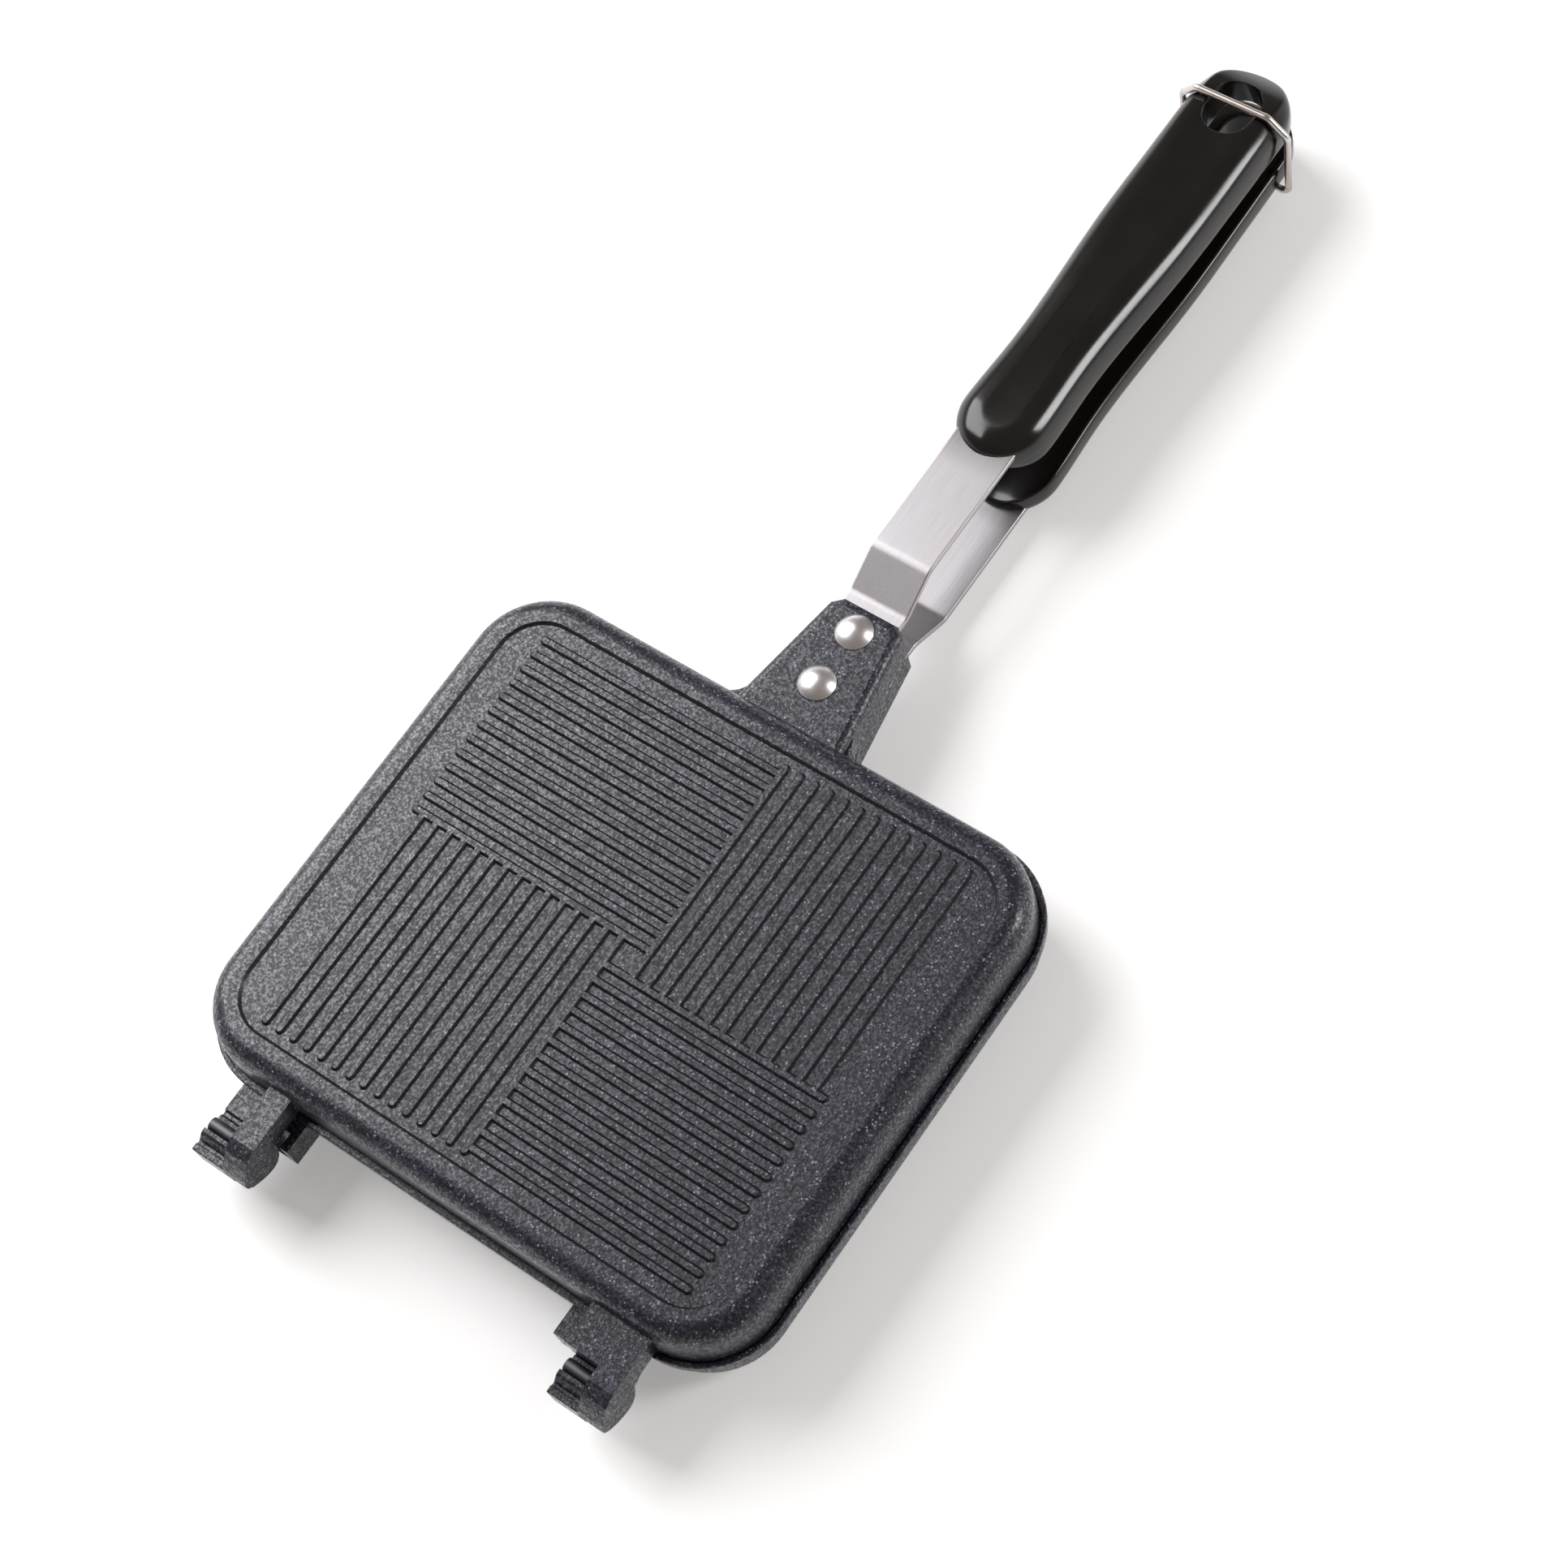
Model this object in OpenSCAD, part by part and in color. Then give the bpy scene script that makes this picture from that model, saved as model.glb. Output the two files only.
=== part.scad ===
// Hinged sandwich iron: two cast trays, hook hinges, strap handles and a wire clip.
// Millimetres. X runs along the hinge, Y towards the handle, Z up.
// The origin is the centre of the lower tray's outer ring, which is the plane z = 0.

/* [Castings] */
// Length of the outer ring along the hinge
ring_x = 154; // [150:0.5:160]
// Width of the outer ring towards the handle
ring_y = 132.2; // [130:0.2:136]
// Corner radius of the outer ring
ring_corner = 15; // [13:0.5:18]
// Width of the ring's flat top
ring_width = 2.4; // [1.5:0.1:3]
// Height of ring and ribs above the field
relief = 0.8; // [0.4:0.1:1.1]
// Height of one casting from seam to ring
half_height = 14.5; // [14:0.5:17]
// Radius of the shoulder between ring and wall
shoulder = 5.5; // [4.5:0.5:5.5]
// How far the rim stands out beyond the ring
rim_out = 5.9; // [5.8:0.1:6.4]
// Run of the ring's sloped inner wall
ring_slope = 0.8; // [0.3:0.1:1.2]
// Gap between the upper rim and the lower casting's lip
lip_gap = 0.6; // [0.4:0.1:1]
// Thickness of the lip
lip_t = 1.1; // [0.8:0.1:1.5]
// Height of the lip above the seam
lip_up = 1.5; // [0.8:0.1:1.8]
// Thickness of the rim land at the seam
land = 3.6; // [3:0.1:4]
// Depth of the tray inside each casting
tray_depth = 10.8; // [9:0.2:11]

/* [Ribs] */
// Spacing of the ribs
rib_pitch = 4.48; // [4.4:0.01:4.5]
// Width of a rib at its foot
rib_foot = 2.6; // [2.2:0.1:3]
// Width of a rib at its top
rib_top = 1.4; // [1:0.1:1.8]
// Side of the plain square in the middle of the ribs
hub = 8.4; // [8:0.1:8.8]

/* [Handle lug] */
// Outer end of the handle lug
lug_end = 108; // [106:0.2:109]
// Half width of the lug at its outer end
lug_tip = 10.8; // [10.4:0.2:12]
// Half width of the lug at its root
lug_root = 16; // [15:0.5:18]
// Radius along the lug's outer edges
lug_round = 2.4; // [1:0.2:3]
// Radius of a rivet's shank
rivet_r = 2.6; // [2:0.1:3]
// Radius of a rivet's head
rivet_head = 5.1; // [4.6:0.1:5.6]
// Height of a rivet's head
rivet_rise = 2.3; // [1.8:0.1:2.8]
// Distance of the outer rivet from the centre
rivet_far = 100.7; // [99.9:0.2:101.5]
// Distance between the two rivets
rivet_gap = 16.2; // [15.4:0.2:17]

/* [Straps] */
// Width of the steel strap
strap_w = 17.5; // [16:0.5:18.5]
// Thickness of the steel strap
strap_t = 1.6; // [1.4:0.1:1.8]
// Depth of the strap's face below the lug's face
strap_skin = 1.5; // [1.3:0.1:1.8]
// Rise of the strap between lug and grip
strap_rise = 6; // [5:0.2:6.4]
// Where the strap starts to rise
strap_bend = 109.6; // [109.2:0.2:111]
// Radius of the strap's two bends
strap_r = 5; // [4:0.5:6]

/* [Grips] */
// Front of the grip
grip_front = 156; // [155:0.5:158]
// Tip of the grip
grip_end = 291; // [290:0.2:292]
// Thickness of the grip
grip_t = 11; // [10:0.5:12]
// Half width of the grip near its tip
grip_w = 14.1; // [13.6:0.1:14.4]
// Half width of the grip's waist
grip_waist = 12; // [11.6:0.1:12.6]
// Radius of the hanging hole
hang_r = 6.6; // [6:0.1:6.8]
// Length of the hanging hole between its round ends' centres
hang_long = 5.2; // [4:0.2:6]

/* [Clip] */
// Radius of the clip's wire
wire_r = 0.95; // [0.8:0.05:1]
// Radius of the bends in the wire's middle line
wire_bend = 2.2; // [1.6:0.1:2.6]
// Running clearance round the clip's feet
wire_gap = 0.06; // [0.03:0.01:0.1]

/* [Hinge] */
// Radius of a hinge pin
pin_r = 1.8; // [1.6:0.1:2]
// Running clearance between pin and hook
pin_gap = 0.08; // [0.03:0.01:0.1]
// Reach of the hinge arm in front of the pin
eye_r = 8.2; // [8:0.1:8.4]
// Radius of the pin's end in the right arm
pin_end = 0.9; // [0.7:0.1:1.2]
// Gap beside each hinge finger
side_gap = 0.4; // [0.3:0.05:0.6]

/* [Hidden] */
$fn = 64;
seam = half_height;
full = 2 * half_height;
cx = ring_x / 2 - ring_corner;
cy = ring_y / 2 - ring_corner;
rim = ring_corner + rim_out;
field = half_height - relief;
lug_h = half_height - shoulder;
skin_top = lug_h - strap_skin;
strap_low = skin_top - strap_t / 2;
strap_high = strap_low + strap_rise;
strap_in = 77;
strap_end = 232;
strap_slope = 27;
rivet_near = rivet_far - rivet_gap;
lip = rim + lip_gap + lip_t;
hinge_y = -85.8;
tray_s = rim - land;

// Sweeps a profile (across, up) round the rounded rectangle of the castings.
module swept(z0, z1) {
    for (x = [-cx, cx]) for (y = [-cy, cy])
        translate([x, y, 0]) rotate_extrude() children();
    rotate([90, 0, 0]) linear_extrude(2 * cy, center = true) {
        translate([cx, 0]) children();
        mirror([1, 0]) translate([cx, 0]) children();
        translate([-cx, z0]) square([2 * cx, z1 - z0]);
    }
    rotate([90, 0, 90]) linear_extrude(2 * cx, center = true) {
        translate([cy, 0]) children();
        mirror([1, 0]) translate([cy, 0]) children();
        translate([-cy, z0]) square([2 * cy, z1 - z0]);
    }
}

module wall_profile(with_lip) {
    polygon([[0, 0], [rim - 0.6, 0], [rim, 0.6], [ring_corner + shoulder, lug_h],
        [ring_corner, lug_h], [ring_corner, half_height], [0, half_height]]);
    intersection() {
        translate([ring_corner, lug_h]) circle(r = shoulder);
        translate([ring_corner - 0.1, lug_h - 0.1]) square(shoulder + 1);
    }
    if (with_lip) polygon([[0, -lip_up], [lip - 0.3, -lip_up], [lip, 0.3 - lip_up], [lip, 1.1],
        [lip - 0.6, 1.7], [0, 1.7]]);
}

module tray_profile() {
    f = 4;
    polygon([[0, -1], [tray_s, -1], [tray_s - 0.6, tray_depth - f],
        [tray_s - 0.6 - f, tray_depth - f], [tray_s - 0.6 - f, tray_depth], [0, tray_depth]]);
    intersection() {
        translate([tray_s - 0.6 - f, tray_depth - f]) circle(r = f);
        translate([0, tray_depth - f]) square([tray_s, f]);
    }
}

// One raised rib from a to b, with a coned end at each end asked for.
module rib(a, b, ends) {
    d = b - a;
    n = norm(d);
    s = (rib_foot - rib_top) / 2 / relief;
    sink = 0.4;
    low = rib_foot / 2 + s * sink;
    translate([a[0], a[1], field]) rotate([0, 0, atan2(d[1], d[0])]) {
        rotate([90, 0, 90]) linear_extrude(n)
            polygon([[-low, -sink], [low, -sink], [rib_top / 2, relief], [-rib_top / 2, relief]]);
        for (e = ends) translate([e * n, 0, -sink])
            cylinder(h = relief + sink, r1 = low, r2 = rib_top / 2, $fn = 24);
    }
}

// Four blocks of ribs turned about a plain square like a pinwheel.
hub_x = 4.7;
hub_y = -0.1;
module pinwheel() {
    p = rib_pitch;
    l = hub_x - hub / 2;
    r = hub_x + hub / 2;
    b = hub_y - hub / 2;
    t = hub_y + hub / 2;
    for (i = [0:12]) rib([-64.7, t + i * p], [r, t + i * p], [0]);
    for (i = [0:12]) rib([r + i * p, 59.9], [r + i * p, b], i == 0 ? [0, 1] : [0]);
    for (i = [0:14]) rib([l - i * p, t], [l - i * p, -59.5], i == 0 ? [0, 1] : [1]);
    for (i = [0:12]) rib([l, b - i * p], [65.5, b - i * p], [1]);
}

module lug_plan(inset) {
    c = 2.6;
    offset(delta = -inset) polygon([[-lug_root - 0.6, 70], [-lug_tip - 0.2, lug_end - c],
        [-lug_tip + c, lug_end], [lug_tip - c, lug_end], [lug_tip + 0.2, lug_end - c],
        [lug_root + 0.6, 70]]);
}

module lug(low) {
    r = lug_round;
    intersection() {
        hull() {
            translate([0, 0, low]) linear_extrude(0.02) lug_plan(0.3);
            translate([0, 0, low + 0.3]) linear_extrude(0.02) lug_plan(0);
            for (a = [0:18:90]) translate([0, 0, lug_h - r + r * sin(a) - 0.02])
                linear_extrude(0.02) lug_plan(r * (1 - cos(a)));
        }
        translate([-40, 70, 0]) cube([80, 60, 40]);
    }
    for (m = [0, 1]) mirror([m, 0, 0]) translate([0, 0, 0.6]) linear_extrude(lug_h - 3.2)
        difference() {
            polygon([[10, 70.5], [22.5, 70.5], [22.5, 71.6], [15.6, 78.4], [10, 78.4]]);
            translate([22.6, 79.2]) circle(r = 7.35);
        }
}

// One casting without its hinge parts, seen from the seam upwards.
module casting(with_lip) {
    difference() {
        union() {
            difference() {
                swept(with_lip ? -lip_up : 0, half_height) wall_profile(with_lip);
                swept_field();
            }
            pinwheel();
            lug(0.15);
        }
        swept(-1, tray_depth) tray_profile();
        if (with_lip) swept(-3, 0) polygon([[0, -3], [rim + lip_gap, -3], [rim + lip_gap, 0], [0, 0]]);
        strap_shape();
        for (y = [rivet_near, rivet_far]) translate([0, y, -1]) cylinder(h = 30, r = rivet_r);
        if (with_lip) lip_cuts();
    }
}

// Openings in the lip for the upper casting's lug and hinge arms.
module lip_cuts() {
    w = lug_root + 7.2;
    translate([-w, 60, -5]) cube([2 * w, 20, 5]);
    for (a = [[hook_r[0] - side_gap, arm_r[1]], arm_l])
        translate([a[0] - side_gap, -80, -5]) cube([a[1] - a[0] + 2 * side_gap, 20, 5]);
}

// The space above the field, with sloped sides.
module swept_field() {
    h = 3 * relief;
    r = ring_corner - ring_width - ring_slope;
    q = r + 3 * ring_slope;
    for (x = [-cx, cx]) for (y = [-cy, cy]) translate([x, y, field]) cylinder(h = h, r1 = r, r2 = q);
    translate([0, 0, field]) rotate([90, 0, 90]) linear_extrude(2 * cx, center = true)
        polygon([[-cy - r, 0], [cy + r, 0], [cy + q, h], [-cy - q, h]]);
    translate([0, 0, field]) rotate([90, 0, 0]) linear_extrude(2 * cy, center = true)
        polygon([[-cx - r, 0], [cx + r, 0], [cx + q, h], [-cx - q, h]]);
}

// The strap's side line at a distance d above its middle line.
strap_run = (strap_rise - 2 * strap_r * (1 - cos(strap_slope))) / tan(strap_slope);
strap_top = strap_bend + 2 * strap_r * sin(strap_slope) + strap_run;
function strap_line(d) = concat([[strap_in, strap_low + d]],
    [for (i = [0:5]) let (a = strap_slope * i / 5, r = strap_r - d)
        [strap_bend + r * sin(a), strap_low + strap_r - r * cos(a)]],
    [for (i = [5:-1:0]) let (a = strap_slope * i / 5, r = strap_r + d)
        [strap_top - r * sin(a), strap_high - strap_r + r * cos(a)]],
    [[strap_end, strap_high + d]]);

module strap_shape() {
    low = strap_line(-strap_t / 2);
    high = strap_line(strap_t / 2);
    translate([strap_w / 2, 0, 0]) rotate([90, 0, -90]) linear_extrude(strap_w) mirror([1, 0])
        polygon(concat(low, [for (i = [len(high) - 1:-1:0]) high[i]]));
}

module strap() {
    difference() {
        strap_shape();
        for (y = [rivet_near, rivet_far]) translate([0, y, -1]) cylinder(h = 40, r = rivet_r);
    }
}

module rivet(y) {
    c = (rivet_head * rivet_head - rivet_rise * rivet_rise) / 2 / rivet_rise;
    translate([0, y, 0.15]) cylinder(h = lug_h - 0.15, r = rivet_r);
    translate([0, y, lug_h]) intersection() {
        translate([0, 0, -c]) sphere(r = c + rivet_rise);
        cylinder(h = 10, r = rivet_head);
    }
}

function ease(t) = t * t * (3 - 2 * t);
function round_in(t) = sqrt(max(0, 1 - (1 - t) * (1 - t)));
nose = 13;
grip_nose = 12.75;
nose_y = grip_front + nose;
tip_y = grip_end - grip_w;
function grip_half(y) =
    y < nose_y ? max(1, grip_nose * round_in((y - grip_front) / nose)) :
    y < 191 ? grip_nose + (grip_waist - grip_nose) * ease((y - nose_y) / (191 - nose_y)) :
    y < 240 ? grip_waist + (grip_w - 0.15 - grip_waist) * ease((y - 191) / 49) :
    y < tip_y ? grip_w - 0.15 + 0.15 * ease((y - 240) / (tip_y - 240)) :
    max(0.5, grip_w * sqrt(max(0, 1 - pow((y - tip_y) / grip_w, 2))));
function grip_mid(y) = half_height - 2.9 - (y - 172) * 0.0278;
function grip_lift(y) =
    y < nose_y ? 2.6 + (grip_t / 2 - 2.6) * round_in((y - grip_front) / nose) :
    y > grip_end - 5.5 ? 1.5 + (grip_t / 2 - 1.5) * sqrt(max(0, 1 - pow((y - grip_end + 5.5) / 5.5, 2))) :
    grip_t / 2;
function grip_shift(y) = y < nose_y ? 1.2 * (1 - round_in((y - grip_front) / nose)) : 0;
function grip_ring(y) =
    let (w = grip_half(y), c = grip_mid(y) + grip_shift(y), v = grip_lift(y),
        rx = min(8, w * 0.62), rz = min(6.5, 1.25 * v), e = min(1, w * 0.3),
        side = concat([[w - e, c - v], [w - 0.3 * e, c - v + 0.3 * e], [w, c - v + e]],
            [for (a = [0:15:90]) [w - rx + rx * cos(a), c + v - rz + rz * sin(a)]]))
    concat([for (p = side) [p[0], y, p[1]]],
        [for (i = [len(side) - 1:-1:0]) [-side[i][0], y, side[i][1]]]);
grip_at = concat([for (t = [0, 0.015, 0.05, 0.11, 0.2, 0.32, 0.48, 0.7, 1]) grip_front + nose * t],
    [175, 180, 186, 191, 197, 204, 211, 218, 225, 232, 240, 252, 264],
    [for (a = [0, 15, 30, 42, 53, 63, 72, 80, 86, 89.5]) tip_y + grip_w * sin(a)]);

module grip_form() {
    rings = [for (y = grip_at) grip_ring(y)];
    n = len(rings[0]);
    m = len(rings);
    polyhedron(points = [for (r = rings) each r],
        faces = concat([[for (i = [0:n - 1]) i]], [[for (i = [n - 1:-1:0]) (m - 1) * n + i]],
            [for (k = [0:m - 2]) for (i = [0:n - 1])
                [k * n + i, (k + 1) * n + i, (k + 1) * n + (i + 1) % n, k * n + (i + 1) % n]]));
}

// The slot in the tip, with a bevel round its outer mouth.
hang_near = 273.4;
hang_far = hang_near + hang_long;
mouth = grip_mid(hang_near) + grip_t / 2;
module hang_hole() {
    w = hang_r + 1;
    for (y = [hang_near, hang_far]) translate([0, y, 0]) {
        translate([0, 0, -20]) cylinder(h = 60, r = hang_r);
        translate([0, 0, mouth - 0.7]) cylinder(h = 1, r1 = hang_r, r2 = w);
    }
    translate([-hang_r, hang_near, -20]) cube([2 * hang_r, hang_long, 60]);
    translate([0, hang_far, mouth - 0.7]) rotate([90, 0, 0]) linear_extrude(hang_long)
        polygon([[-hang_r, 0], [hang_r, 0], [w, 1], [-w, 1]]);
}

// Where the clip turns, and the path of its wire, measured from the seam.
clip_y = 273.9;
clip_z = 3 - 14.5;
bar_y = 275.4;
bar_z = grip_mid(bar_y) + grip_t / 2 + wire_r + 0.2;
bar_x = 10.8;
leg_left = 15.5;
leg_right = 16.5;
leg_z = 24.7 - 14.5;
foot_x = 8.7;
swing_r = norm([bar_y - clip_y, bar_z - clip_z]) - wire_r - 0.35;

// The space that the clip's bar leaves clear as it swings over the tips.
module swing_room() {
    w = leg_left - wire_r - 0.35;
    k = norm([bar_y - clip_y, leg_z - clip_z]) - 0.5;
    translate([0, clip_y, clip_z]) rotate([0, 90, 0]) rotate_extrude($fn = 96)
        polygon([[0, -w], [k, -w], [swing_r, -bar_x + 0.6], [swing_r, bar_x - 0.6], [k, w], [0, w]]);
}

module grip(swing) {
    difference() {
        intersection() {
            grip_form();
            if (swing) union() {
                swing_room();
                translate([-30, 100, -40]) cube([60, clip_y - 100, 80]);
            } else translate([-30, 100, -40]) cube([60, 200, 80]);
        }
        strap_shape();
        hang_hole();
    }
}

module wire(a, b) {
    d = b - a;
    translate(a) rotate([0, acos(d[2] / norm(d)), atan2(d[1], d[0])]) cylinder(h = norm(d), r = wire_r);
}
function unit(v) = v / norm(v);
function bend_run(a, p, b) = wire_bend * tan(acos(unit(p - a) * unit(b - p)) / 2);

// A bend of the wire at p, coming from a and going to b.
module bend(a, p, b) {
    i = unit(p - a);
    o = unit(b - p);
    turn = acos(i * o);
    z = unit(cross(i, o));
    x = cross(i, z);
    c = p - i * bend_run(a, p, b) - x * wire_bend;
    multmatrix([[x[0], i[0], z[0], c[0]], [x[1], i[1], z[1], c[1]], [x[2], i[2], z[2], c[2]], [0, 0, 0, 1]])
        rotate_extrude(angle = turn) translate([wire_bend, 0]) circle(r = wire_r + 0.04);
}
wire_path = [[-foot_x, clip_y, clip_z], [-leg_left, clip_y, clip_z], [-leg_left, bar_y, leg_z],
    [-bar_x, bar_y, bar_z], [bar_x, bar_y, bar_z], [leg_right, bar_y, leg_z],
    [leg_right, clip_y, clip_z], [foot_x, clip_y, clip_z]];

// Hinge fingers. Each side profile is (towards the handle, up) from the pin's centre.
arm_r = [56.2 + side_gap, 63.7];
arm_l = [-53.6 + side_gap, -46.3];
hook_r = [46.9, 56.2];
hook_l = [-64.2, -53.6];
block_y = -82.7;
root_y = -81.6;
module along_x(x0, x1) {
    translate([x0, hinge_y, 0]) rotate([90, 0, 90]) linear_extrude(x1 - x0) children();
}

module arm_side() {
    f = eye_r;
    difference() {
        polygon([[16, lug_h], [-0.8, lug_h], [-2.6, 8.4], [-4.2, 7.2], [-5.8, 5.2], [-f + 0.7, 2.4],
            [-f, 0.3], [-f + 0.2, -1], [-6.7, -2.8], [-4.2, -4.3], [-1.8, -5.2], [0.1, -5.4],
            [1.7, -4.9], [3, -3.4], [3.9, -1.4], [4.3, 0.4], [5, 0.8], [16, 0.8]]);
        translate([8.3, -1.2]) circle(r = 3.3);
        translate([8.3, -4]) square([10, 6.1]);
    }
}

module hook_side() {
    difference() {
        polygon([[15.6, -lug_h], [-5.5, -lug_h], [-7.8, -lug_h + 1.8], [-7.8, 0.5], [-7.5, 0.8],
            [-6.1, 0.8], [-5.8, 0.2], [-5.1, 0.2], [-3.7, 1.8], [-2.9, 2.2], [-1.2, 2.2],
            [1.2, -side_gap], [2.8, -side_gap], [3.4, -1.3], [4.2, -1.3], [4.8, -side_gap],
            [15.6, -side_gap]]);
        circle(r = pin_r + pin_gap);
        translate([-pin_r - pin_gap, 0]) square([2 * (pin_r + pin_gap), 6]);
    }
}

module upper_hinge() {
    difference() {
        union() {
            along_x(arm_r[0], arm_r[1]) arm_side();
            along_x(arm_l[0], arm_l[1]) arm_side();
            translate([hook_r[0] - side_gap, block_y, 0.15])
                cube([arm_r[0] - hook_r[0] + 3, -70.3 - block_y, lug_h - 0.15]);
        }
        pin_right();
        pin_left();
    }
}

module lower_hinge() {
    along_x(hook_r[0], hook_r[1]) hook_side();
    along_x(hook_l[0], hook_l[1]) hook_side();
    translate([39.4, root_y, -lug_h]) cube([10, -70.3 - root_y, lug_h - side_gap]);
    difference() {
        translate([-58, root_y, -lug_h]) cube([14.4, -70.3 - root_y, lug_h - side_gap]);
        translate([hook_l[1], hinge_y, 0]) rotate([0, 90, 0])
            cylinder(h = arm_l[1] + side_gap - hook_l[1], r = eye_r + side_gap);
    }
}

module rod(x0, x1, r) {
    translate([x0, hinge_y, 0]) rotate([0, 90, 0]) cylinder(h = x1 - x0, r = r);
}
module pin_right() {
    rod(hook_r[0], arm_r[1] - 2, pin_r);
    rod(hook_r[0], arm_r[1], pin_end);
}
module pin_left() { rod(hook_l[0], arm_l[1] - 2, pin_r); }

module up() { translate([0, 0, seam]) children(); }
module down() { translate([0, 0, seam]) mirror([0, 0, 1]) children(); }

module upper_plate() {
    color([0.2, 0.2, 0.22]) up() {
        casting(false);
        upper_hinge();
    }
}
module lower_plate() {
    color([0.2, 0.2, 0.22]) {
        down() casting(true);
        up() lower_hinge();
    }
}
module upper_strap() { color([0.7, 0.7, 0.72]) up() strap(); }
module lower_strap() { color([0.7, 0.7, 0.72]) down() strap(); }
module upper_grip() { color([0.04, 0.04, 0.04]) up() grip(true); }
module lower_grip() {
    color([0.04, 0.04, 0.04]) difference() {
        down() grip(false);
        translate([0, clip_y, clip_z + seam]) rotate([0, 90, 0]) difference() {
            cylinder(h = 40, r = wire_r + wire_gap, center = true);
            cylinder(h = 2 * foot_x - 0.6, r = 3, center = true);
        }
    }
}
module upper_rivet_near() { color([0.8, 0.8, 0.82]) up() rivet(rivet_near); }
module upper_rivet_far() { color([0.8, 0.8, 0.82]) up() rivet(rivet_far); }
module lower_rivet_near() { color([0.8, 0.8, 0.82]) down() rivet(rivet_near); }
module lower_rivet_far() { color([0.8, 0.8, 0.82]) down() rivet(rivet_far); }
module hinge_pin_left() { color([0.7, 0.7, 0.72]) up() pin_left(); }
module hinge_pin_right() { color([0.7, 0.7, 0.72]) up() pin_right(); }
module wire_clip() {
    color([0.75, 0.74, 0.72]) up() {
        for (i = [0:6]) let (p = wire_path[i], q = wire_path[i + 1], d = unit(q - p)) wire(
            i == 0 ? p : p + d * (bend_run(wire_path[i - 1], p, q) - 0.2),
            i == 6 ? q : q - d * (bend_run(p, q, wire_path[i + 2]) - 0.2));
        for (i = [1:6]) bend(wire_path[i - 1], wire_path[i], wire_path[i + 1]);
    }
}

upper_plate();
lower_plate();
upper_strap();
lower_strap();
upper_grip();
lower_grip();
upper_rivet_near();
upper_rivet_far();
lower_rivet_near();
lower_rivet_far();
hinge_pin_left();
hinge_pin_right();
wire_clip();
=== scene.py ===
"""Looks of a hinged sandwich iron, built as an add-on and run as a script."""

import math

import bmesh
import bpy
from bpy.props import FloatProperty, FloatVectorProperty, PointerProperty
from mathutils import Matrix, Vector


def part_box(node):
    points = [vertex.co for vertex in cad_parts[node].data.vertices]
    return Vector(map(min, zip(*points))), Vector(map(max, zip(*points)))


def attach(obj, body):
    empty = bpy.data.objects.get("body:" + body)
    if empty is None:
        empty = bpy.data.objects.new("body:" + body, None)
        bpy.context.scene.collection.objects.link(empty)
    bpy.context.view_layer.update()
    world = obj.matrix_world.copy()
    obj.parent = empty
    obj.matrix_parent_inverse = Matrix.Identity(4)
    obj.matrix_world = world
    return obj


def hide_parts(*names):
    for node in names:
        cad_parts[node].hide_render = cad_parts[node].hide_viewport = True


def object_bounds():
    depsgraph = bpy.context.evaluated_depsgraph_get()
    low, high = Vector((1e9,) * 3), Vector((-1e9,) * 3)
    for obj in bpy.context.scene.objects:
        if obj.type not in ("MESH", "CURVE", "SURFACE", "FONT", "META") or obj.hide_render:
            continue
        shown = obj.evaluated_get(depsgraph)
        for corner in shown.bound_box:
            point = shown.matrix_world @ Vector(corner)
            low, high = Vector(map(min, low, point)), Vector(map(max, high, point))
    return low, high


bl_info = {
    "name": "Sandwich iron",
    "version": (1, 0, 0),
    "blender": (4, 5, 0),
    "location": "View3D > Sidebar > Sandwich iron",
    "description": "Dresses a packed sandwich iron with its finishes and smooth pieces",
    "category": "Object",
}

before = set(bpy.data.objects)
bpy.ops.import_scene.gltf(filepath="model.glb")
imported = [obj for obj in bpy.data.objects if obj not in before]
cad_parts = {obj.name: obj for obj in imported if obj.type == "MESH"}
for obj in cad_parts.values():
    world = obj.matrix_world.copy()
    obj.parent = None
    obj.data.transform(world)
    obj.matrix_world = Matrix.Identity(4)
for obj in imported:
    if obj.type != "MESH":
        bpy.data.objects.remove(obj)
cad_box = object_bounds()
MM = 0.001
SEAM = 14.5 * MM
# Each half with its body and the side of the seam on which it lies.
HALVES = (("upper", "upper_half", 1), ("lower", "lower_half", -1))


# ---------------------------------------------------------------- shader helpers
class Value:
    """A shader socket that can stand in a Python expression."""

    def __init__(self, finish, socket):
        self.finish = finish
        self.socket = socket

    def _maths(self, operation, *values):
        node = self.finish.add("ShaderNodeMath", {"operation": operation}, dict(enumerate(values)))
        return node.out()

    def __add__(self, other):
        return self._maths("ADD", self, other)

    def __radd__(self, other):
        return self._maths("ADD", other, self)

    def __sub__(self, other):
        return self._maths("SUBTRACT", self, other)

    def __rsub__(self, other):
        return self._maths("SUBTRACT", other, self)

    def __mul__(self, other):
        return self._maths("MULTIPLY", self, other)

    def __rmul__(self, other):
        return self._maths("MULTIPLY", other, self)

    def abs(self):
        return self._maths("ABSOLUTE", self)

    def step(self, low, high):
        """0 below low, 1 above high, smooth between."""
        settings = {"interpolation_type": "SMOOTHSTEP"}
        inputs = {"Value": self, "From Min": low, "From Max": high}
        return self.finish.add("ShaderNodeMapRange", settings, inputs).out()


class Made:
    """A node that was made, with its outputs as values."""

    def __init__(self, finish, node):
        self.finish = finish
        self.node = node

    def out(self, name=0):
        return Value(self.finish, self.node.outputs[name])


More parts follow.
